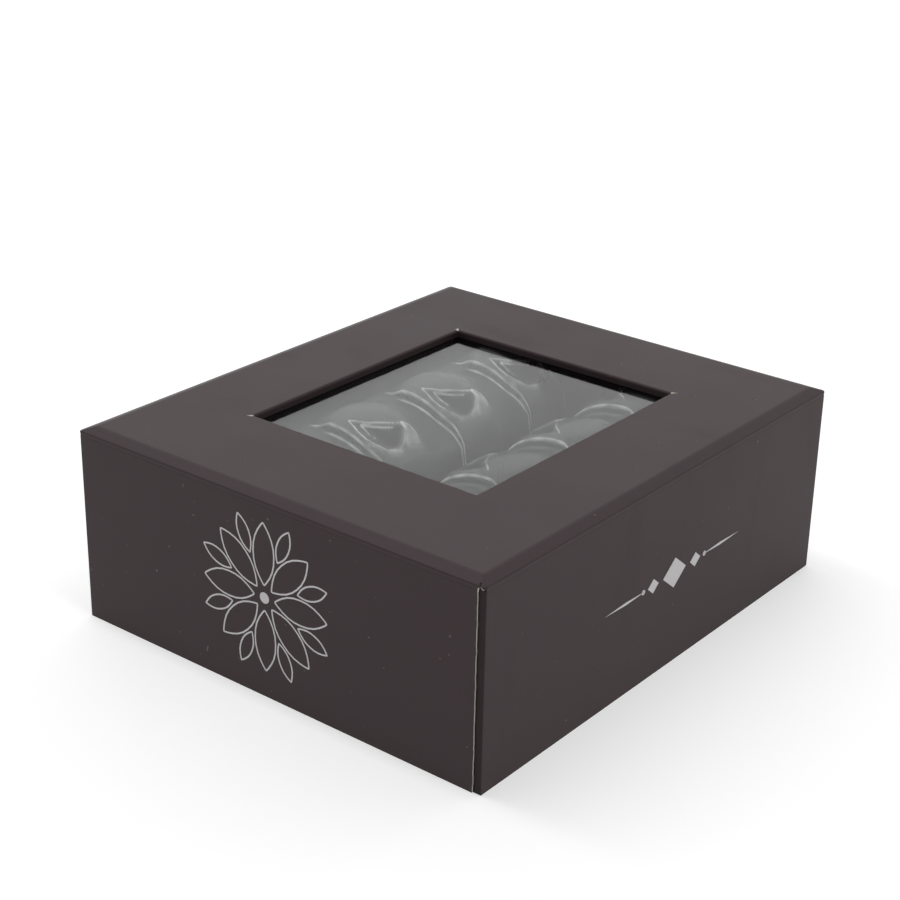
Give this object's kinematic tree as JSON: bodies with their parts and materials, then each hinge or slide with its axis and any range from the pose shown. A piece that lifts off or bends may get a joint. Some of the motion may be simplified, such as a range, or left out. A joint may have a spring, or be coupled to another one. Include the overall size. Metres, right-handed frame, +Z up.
{
  "type": "macaron box",
  "caption": "Shut rectangular macaron box: dark laminated board cover with a film window over a clear moulded tray, closed by a base board.",
  "frame": {"origin": "middle of the underside of the box, on the surface it stands on", "axes": "+X along the long side, +Y along the short side, +Z up; the front corner of the picture is at -X -Y"},
  "size_m": [0.15, 0.13, 0.054],
  "materials": {
    "laminated_board": "matt laminated print in aubergine brown",
    "base_paper": "plain uncoated board",
    "clear_film": "clear glossy film",
    "clear_tray": "clear thermoformed sheet"
  },
  "bodies": {
    "root": {"cover": "laminated_board", "base_board": "base_paper", "window_film": "clear_film", "tray": "clear_tray"}
  },
  "joints": []
}
